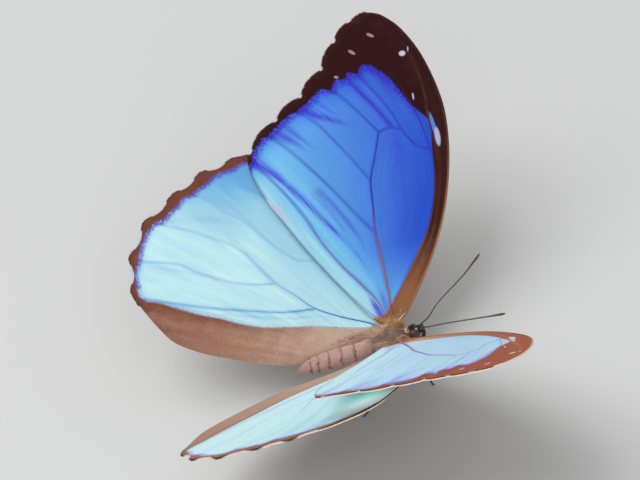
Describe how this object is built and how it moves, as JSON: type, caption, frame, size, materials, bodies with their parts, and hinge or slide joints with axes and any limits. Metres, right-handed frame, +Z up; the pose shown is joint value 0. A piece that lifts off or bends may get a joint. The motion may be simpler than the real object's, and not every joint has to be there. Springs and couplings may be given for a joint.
{
  "type": "butterfly figure",
  "caption": "Blue morpho butterfly figure, standing on slender legs with its scalloped wings held in a wide V and its feelers forward.",
  "frame": {"origin": "on the floor, under the middle of the whole model's box", "axes": "+Z up, +Y backward along the body, +X to the butterfly's left; the head points to -Y"},
  "size_m": [0.114, 0.0688, 0.0433],
  "materials": {
    "forewing_scales": "satin, blue scales that shine like silk",
    "hindwing_scales": "satin, pale blue scales that shine like silk",
    "body_hair": "short brown hair",
    "eye_facets": "dark gloss",
    "limb_shell": "dark horn, half matt"
  },
  "bodies": {
    "root": {"abdomen": "body_hair", "antenna_left": "limb_shell", "antenna_right": "limb_shell", "eye_left": "eye_facets", "eye_right": "eye_facets", "foreleg_left": "limb_shell", "foreleg_right": "limb_shell", "forewing_left": "forewing_scales", "forewing_right": "forewing_scales", "head": "body_hair", "hindleg_left": "limb_shell", "hindleg_right": "limb_shell", "hindwing_left": "hindwing_scales", "hindwing_right": "hindwing_scales", "midleg_left": "limb_shell", "midleg_right": "limb_shell", "palp_left": "body_hair", "palp_right": "body_hair", "proboscis": "limb_shell", "thorax": "body_hair"}
  },
  "joints": []
}
